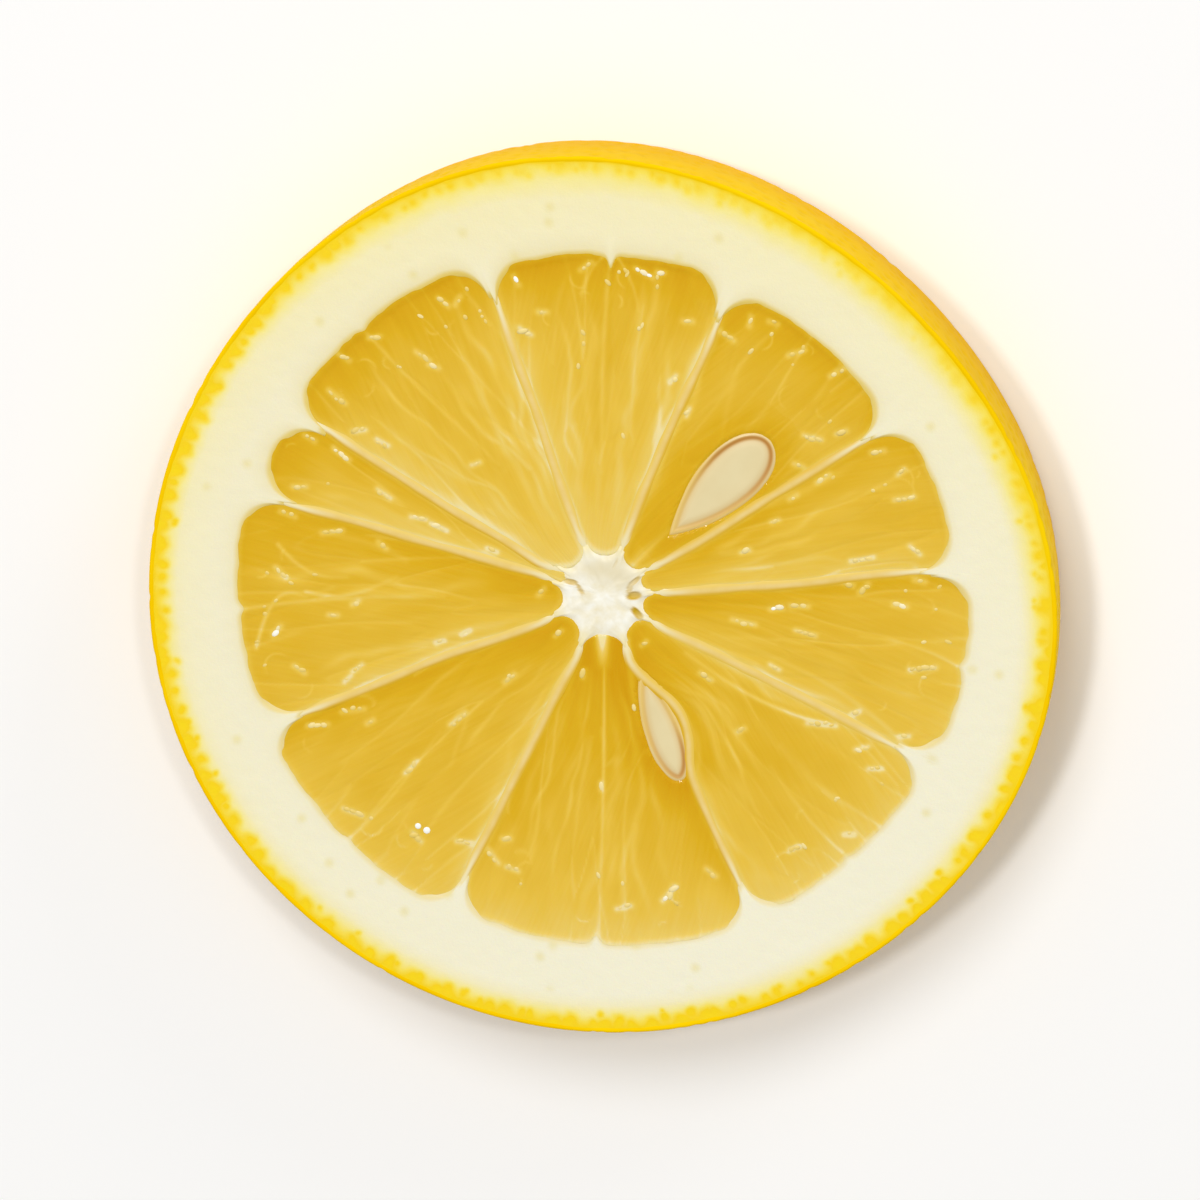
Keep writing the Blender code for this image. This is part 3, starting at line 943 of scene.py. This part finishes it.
# drops and wet edges that catch the light: x and y, length, and the way it lies in degrees
wetSpots = (
    (-0.5, 23.8, 1.0, 35), (3.5, 23.4, 1.3, -30), (4.7, 23.4, 0.5, 0), (10.8, 20.1, 0.7, 80),
    (12.4, 20.0, 0.6, -20), (9.2, 19.0, 1.1, -35), (6.5, 20.0, 0.6, 0), (5.4, 15.9, 0.6, 50),
    (14.0, 17.9, 1.2, 20), (16.8, 16.6, 1.2, 30), (6.4, 13.5, 0.6, 70), (15.7, 9.0, 1.0, 35),
    (13.6, 7.6, 0.6, 30), (14.0, 9.9, 0.7, -20), (15.0, 11.9, 1.3, -15), (17.0, 12.3, 0.7, 20),
    (19.5, 11.0, 0.9, 10), (21.1, 9.6, 0.6, 40), (21.3, 7.7, 1.4, 10), (10.2, 3.7, 0.6, 20),
    (12.3, 5.9, 0.5, 20), (22.0, 4.0, 0.9, -40), (18.3, 3.3, 1.6, 10), (17.1, 1.6, 1.2, -25),
    (18.4, 1.2, 0.8, 40), (22.3, 1.8, 0.7, -10), (20.9, -0.0, 0.9, -10), (12.3, -0.4, 0.8, 10),
    (13.9, -0.2, 1.2, 0), (14.3, -2.1, 1.4, -15), (10.0, -1.4, 1.6, -12), (12.1, -4.6, 0.7, -30),
    (22.4, -4.5, 1.8, 5), (17.7, -7.8, 0.6, 30), (21.1, -9.4, 0.6, 0), (15.3, -8.7, 2.0, -4),
    (18.1, -10.3, 0.9, 15), (19.0, -11.8, 0.9, 0), (9.7, -9.2, 0.5, 30), (7.3, -5.4, 0.9, -35),
    (13.3, -17.7, 0.8, 20), (7.4, -19.6, 0.8, -40), (1.2, -22.3, 1.0, 15), (4.4, -21.2, 1.4, 50),
    (17.1, -16.6, 0.6, 0), (-0.2, -13.5, 0.5, 90), (3.0, -3.1, 0.5, 40), (-1.3, -5.4, 0.5, 80),
    (-17.2, -5.3, 0.9, 40), (-17.9, -6.1, 0.7, 45), (-18.8, -1.5, 0.6, 0), (-17.2, -0.6, 0.5, 30),
    (-9.5, -2.6, 0.6, 30), (-11.3, -3.3, 0.6, 20), (-21.3, -5.5, 0.9, -35), (-22.8, -2.7, 0.8, 50),
    (-22.4, 1.5, 1.0, -45), (-20.1, -9.5, 1.4, 5), (-17.6, -8.4, 1.6, 10), (-16.4, -9.2, 0.5, 30),
    (-6.5, -5.8, 0.9, 40), (-10.2, -8.8, 1.4, 40), (-13.6, -12.4, 1.2, 48), (-17.8, -15.8, 1.4, -20),
    (-13.3, -17.5, 0.8, -50), (-10.0, -17.8, 1.0, -5), (-7.0, -17.5, 0.5, 0), (-7.9, -18.8, 1.2, -55),
    (-6.6, -19.7, 0.9, -20), (-3.0, -2.5, 0.6, 40), (-10.5, 21.1, 0.9, -40), (-9.5, 21.2, 0.7, 60),
    (-5.4, 22.7, 0.7, -60), (-15.4, 18.5, 0.8, 10), (-17.5, 17.0, 0.8, -30), (-12.0, 17.2, 1.1, -35),
    (-11.3, 16.5, 0.7, -20), (-18.1, 14.2, 1.4, -40), (-16.6, 11.8, 0.9, 10), (-15.0, 11.0, 0.9, -30),
    (-8.5, 9.6, 0.6, 20), (-3.6, 20.5, 0.6, 0), (-4.8, 19.1, 1.0, -30), (-20.1, 11.2, 0.8, -30),
    (-17.9, 10.1, 1.3, -38), (-15.0, 7.3, 1.1, -38), (-20.9, 7.7, 0.9, 0), (-21.8, 5.7, 1.1, -20),
    (-18.7, 4.5, 1.4, 10), (-15.2, 3.6, 0.7, -40), (-12.6, 5.6, 1.1, -10), (-11.2, 5.0, 1.2, -25),
    (-7.5, 3.4, 0.7, -20), (-4.1, 0.5, 0.6, 50),
)
pulpTops = []


def paintedWetGlints(x, y):
    # painted highlight: 1 along the wet spots that catch the light, fading to 0 in a few tenths of a
    # millimetre
    glow = np.zeros(len(x))
    for spotX, spotY, length, lies in wetSpots:
        along, sideways = seen(x, y, spotX, spotY, math.radians(lies))
        away = np.hypot(np.maximum(abs(along) - length / 2, 0), sideways)
        glow = np.maximum(glow, bell(away, 0.24))
    return glow


def fromOutline(index, angle, radius, fromSide, fromPith):
    # how far inside a segment's shown outline each point is, with its round corners and its tip
    corner = lemon["corner"]
    rounded = corner - np.hypot(np.minimum(fromSide - corner, 0), np.minimum(fromPith - corner, 0))
    inside = np.minimum(fromSide, fromPith)
    inside = np.where((fromSide < corner) & (fromPith < corner), rounded, inside)
    start, width = wallWidths(index)
    tipMiddle, tip = segmentTip(width)
    straight, sideways = laid(0, 0, radius, 0, angle - start - width / 2)
    inTip = straight < tipMiddle * math.cos(width / 2) ** 2
    return np.where(inTip, np.minimum(inside, tip - np.hypot(straight - tipMiddle, sideways)), inside)


def pulpLitAndShaded(index, angle, radius, fromPith, fromWalls):
    # painted light and shade: each segment is paler at its lower end and deeper at its upper end, as if
    # light from the top shone through the pulp onto the pith and the walls under it, and paler or deeper
    # beside each wall
    lightWayX, lightWayY = pulp["lean"]
    faces = np.cos(angle) * lightWayX + np.sin(angle) * lightWayY
    level = 0.5 * faces * np.exp(-np.maximum(fromPith, 0) / np.where(faces > 0, 4.2, 2.8))
    deeper = np.where(faces > 0, 0.4, 0.12) * faces + pulp["tips"][index]
    level -= deeper * np.exp(-(radius - 3) / 6)
    # painted light and shade beside the segment's two walls
    sides = wallSidesSlantedAndLit[index][1], wallSidesSlantedAndLit[(index + 1) % wallCount][0]
    for away, strong in zip(fromWalls, sides):
        reaches = 0.9 + 1.6 * abs(strong)
        fades = smooth(radius, 26, 17) if strong > 0 else 1
        level += 0.55 * strong * np.exp(-((np.maximum(away, 0) / reaches) ** 1.5)) * fades
    return level


def buildPulp(index, material):
    across, along, below = pulp["across"], pulp["along"], pulp["below"]
    bm = bmesh.new()
    upper = bmesh.ops.create_grid(bm, x_segments=across, y_segments=along, size=0.5)
    bmesh.ops.translate(bm, verts=upper["verts"], vec=(0, 0, 1))
    bmesh.ops.create_grid(bm, x_segments=across // below, y_segments=along // below, size=0.5)
    rim = [edge for edge in bm.edges if edge.is_boundary]
    bmesh.ops.bridge_loops(bm, edges=rim)
    fan = {}

    def shape(x, y, z, layers):
        reach = lemon["reach"][index]
        radius = pulp["begin"] + (reach + pulp["spare"] - pulp["begin"]) * (y + 0.5)
        lower, higher = sideAngles(index, radius)
        hidden = 0.03 / radius  # it reaches in under the walls, almost to their middles
        angle = lower + hidden + (higher - lower - 2 * hidden) * (x + 0.5)
        placeX, placeY = laid(*lemon["core"], radius, 0, angle)
        fromLower = (angle - lower) * radius - lemon["halfWall"]
        fromHigher = (higher - angle) * radius - lemon["halfWall"]
        fromPith = reach - pithDip(angle) - radius
        inside = fromOutline(index, angle, radius, np.minimum(fromLower, fromHigher), fromPith)

        upperSide = z > 0.5
        distance, strength, tone, strands, glow, curls = np.zeros((6, len(x)))
        along, wide = (angle - lower) * radius, (higher - lower) * radius
        for side, seed in ((upperSide, 100), (~upperSide, 300)):
            distance[side], strength[side], tone[side] = sacPattern(
                index, angle[side], radius[side], pulp["cellWidth"], pulp["cellRows"], seed
            )
            random = np.random.default_rng(seed + 40 + index)
            strands[side], glow[side] = strandLines(index, along[side], wide[side], radius[side], random)
            curls[side] = curledSkins(index, placeX[side], placeY[side], random)
        shown = smooth(strength, 0.25, 0.8) * smooth(radius, 6, 11)
        skins = shown * bell(distance, pulp["lineWidth"])
        veins = 0.3 * skins + 0.55 * strands * smooth(radius, 4, 9) + 0.6 * curls * smooth(inside, 0.1, 0.5)
        veins = np.clip(veins, 0, 1) + upperSide * skinLines(placeX, placeY)

        # the pulp's painted light and shade, and a little paler towards the top
        level = 0.44 + 0.003 * placeY + pulpLitAndShaded(index, angle, radius, fromPith, (fromLower, fromHigher))
        level += 0.07 * (tone - 0.5) * smooth(distance, 0, 0.5) * smooth(radius, 5, 12)
        level = level + 0.07 * np.clip(glow, 0, 1.5) + 0.18 * smooth(inside, 0.4, -0.05)
        level += 0.05 * softNoise(placeX / 2.5 + 40, placeY / 2.5 + 40, 51)
        # painted highlight round the wet spots
        level += 0.4 * upperSide * paintedWetGlints(placeX, placeY)

        sunk = pulp["sunk"] - pulp["crown"] * smooth(inside, 0, 3.5) + 0.3 * smooth(inside, -0.12, -0.45)
        sunk -= 0.05 * smooth(fromPith, 0.6, 0)
        bulge = 0.02 * (1 - bell(distance, 0.35)) * (0.5 + tone)
        ripple = 0.008 * softNoise(placeX / 0.9 + 50, placeY / 0.9 + 50, 52)
        ripple += 0.02 * softNoise(placeX / 2.6 + 50, placeY / 2.6 + 50, 53)
        sunk -= (bulge + ripple + 0.008 * veins - 0.015) * smooth(inside, 0, 0.6)
        for seed in seeds.values():
            away = fromSeed(seed, placeX, placeY)
            sunk += 0.1 * upperSide * smooth(away, 0.1, -0.3)
            # painted shade: the pulp's colour is darker round each seed
            level -= 0.22 * upperSide * bell(np.maximum(away, 0), 1.6)
        height = np.where(upperSide, thickness - sunk, sunk)
        wet = veins * smooth(inside, 0.3, 0.8) * (0.15 + smooth(radius, reach - 8, reach - 2))
        pulpTops.append(np.stack((placeX, placeY, height, wet), axis=1)[upperSide])
        width = wallWidths(index)[1]
        fan["u"] = (x + 0.5) * width * reach / pulp["fibre"] * (radius + 6) / (reach + 6)
        fan["v"] = radius / pulp["fibreLength"] + index * 11
        return (placeX, placeY, height), {"tone": np.clip(level, 0, 1), "skins": veins}

    piece = addPiece(f"pulp_{index + 1:02d}", bm, material, shape)
    loops = np.empty(len(piece.data.loops), int)
    piece.data.loops.foreach_get("vertex_index", loops)
    fanMap = piece.data.uv_layers.new(name="fan")
    fanMap.uv.foreach_set("vector", np.stack((fan["u"][loops], fan["v"][loops]), axis=1).ravel())


beads = {
    "apart": 0.5,  # from one to the next along a wet edge
    "scattered": 60,
    "glinting": ((-13.2, -16.7, 0.55), (-12.6, -17.0, 0.65)),  # painted highlights, fully white: x, y, across
    "small": 0.26,  # across
    "large": 0.5,
    "height": 0.16,  # as a share of its width
    "sunk": 0.5,  # as a share of its height
}


def wetJuice():
    # froth and wet torn skins on the cut: pale specks, as glassy as water, the whitest painted as
    # highlights
    material, tree, shader = newMaterial(
        "wet lemon juice specks with painted glints",
        {"Roughness": 0.4, "IOR": 1.34, "Coat Weight": 0.2, "Coat Roughness": 0.15, "Coat IOR": 1.3},
    )
    # pale yellow specks, up to white where a highlight is painted
    stops = ((0.0, "#EACB66"), (0.5, "#F2DD94"), (0.85, "#FFFEF4"))
    specks = addNode(tree, "ValToRGB", {"stops": stops}, {"Fac": "white"})
    linkInputs(shader, {"Base Color": specks})
    return material


def buildJuice():
    random = np.random.default_rng(71)
    tops = np.concatenate(pulpTops)
    # the pulp's height in each small square, to set the specks on
    cell, middle = 0.2, 140
    cells = np.full((2 * middle, 2 * middle), thickness - 0.15)
    column, row = (np.rint(tops[:, at] / cell).astype(int) + middle for at in (0, 1))
    cells[column, row] = tops[:, 2]
    spots = []  # x, y, width, length, the way it lies, how white it is as a painted highlight
    for x, y, length, lies in wetSpots:
        count = max(1, round(length / beads["apart"]))
        # how white this chain of specks is painted, as a highlight
        bow, glintShare = random.uniform(-0.15, 0.15) * length, 0.75 * random.random() ** 3.5
        lies = math.radians(lies)
        for share in (np.arange(count) + 0.5) / count - 0.5:
            along = share * length + random.uniform(-0.06, 0.06)
            sideways = bow * (1 - 4 * share**2) + random.uniform(-0.07, 0.07)
            across = random.uniform(beads["small"], beads["large"])
            long, turned = across * random.uniform(1.1, 2.0), lies + random.normal(0, 0.3)
            white = glintShare * random.uniform(0.5, 1.1) + 0.3 * random.random()
            spots.append((*laid(x, y, along, sideways, lies), across, long, turned, white))
    chances = tops[:, 3] ** 2
    for pick in random.choice(len(tops), beads["scattered"], p=chances / chances.sum()):
        x, y = tops[pick, :2]
        across = random.uniform(beads["small"], 0.7 * beads["large"])
        lies = math.atan2(y, x) + random.normal(0, 0.4)
        spots.append((x, y, across, across * random.uniform(1.0, 2.2), lies, 0.5 * random.random() ** 2))
    for x, y, across in beads["glinting"]:
        spots.append((x, y, across, across, 0, 1))
    bm = bmesh.new()
    number = bm.verts.layers.float.new("number")
    for index in range(len(spots)):
        bead = bmesh.ops.create_uvsphere(bm, u_segments=8, v_segments=5, radius=0.5)
        for vert in bead["verts"]:
            vert[number] = index
    spots = np.array(spots)

    def shape(x, y, z, layers):
        mine = np.rint(layers["number"]).astype(int)
        middleX, middleY, across, length, lies, white = spots[mine].T
        placeX, placeY = laid(middleX, middleY, x * length, y * across, lies)
        column, row = (np.rint(at / cell).astype(int) + middle for at in (middleX, middleY))
        height = cells[column, row] + (z - beads["sunk"] / 2) * across * 2 * beads["height"]
        return (placeX, placeY, height), {"white": np.clip(white, 0, 1)}

    addPiece("juice", bm, wetJuice(), shape)


studio = {
    "tilt": 18,  # degrees between the view and the slice's axis
    "towards": 62,  # the way that the camera leans, in degrees from +X
    "distance": 0.75,
    "lens": 325,
    "floor": "#FBFAF8",
    "sky": 0.39,
}


def addLight(name, place, size, power):
    lamp = bpy.data.lights.new(name, "AREA")
    lamp.shape, lamp.size, lamp.energy = "DISK", size, power
    light = placed(name, lamp)
    light.location = place
    light.rotation_euler = (-light.location).to_track_quat("-Z", "Y").to_euler()


def buildStudio():
    scene = bpy.context.scene
    scene.view_settings.view_transform = "Standard"
    bm = bmesh.new()
    bmesh.ops.create_grid(bm, x_segments=2, y_segments=2, size=6)
    mesh = bpy.data.meshes.new("floor")
    bm.to_mesh(mesh)
    bm.free()
    board = newMaterial("matt white board", {"Base Color": colour(studio["floor"]), "Roughness": 0.8})
    mesh.materials.append(board[0])
    floor = placed("floor", mesh)
    floor.location.z = -0.05 * mm  # just clear of the slice

    world = bpy.data.worlds.new("studio")
    world.use_nodes = True
    background = world.node_tree.nodes["Background"]
    background.inputs["Color"].default_value = colour("#FFFFFF")
    background.inputs["Strength"].default_value = studio["sky"]
    scene.world = world

    addLight("softbox", (-0.2, 0.9, 1.2), 0.7, 7.5)
    addLight("window", (-0.4, 0.32, 1.6), 0.24, 6.9)
    addLight("lamp", (0.48, 0.56, 1.5), 0.16, 3.1)
    addLight("sidelight", (0.6, 0.8, 0.28), 0.35, 1.4)

    camera = placed("camera", bpy.data.cameras.new("camera"))
    camera.data.lens = studio["lens"]
    camera.data.clip_start = 0.01
    tilt, towards = math.radians(studio["tilt"]), math.radians(studio["towards"])
    camera.rotation_mode = "QUATERNION"
    camera.rotation_quaternion = Quaternion((-math.sin(towards), math.cos(towards), 0), tilt)
    camera.location = camera.rotation_quaternion @ Vector((0, 0, studio["distance"]))
    camera.location.z += cadHigh.z
    scene.camera = camera


print("rind and pith")
buildRind()
buildPith()
print("core and walls")
buildCore()
membrane = segmentWall()
for number in range(wallCount):
    buildWall(number, membrane)
print("pulp")
flesh = juicyPulp()
for number in range(wallCount):
    buildPulp(number, flesh)
print("seeds and juice")
ivory = seedMaterial()
for seedName, seedShape in seeds.items():
    buildSeed(seedName, seedShape, ivory)
buildJuice()
print("studio")
buildStudio()
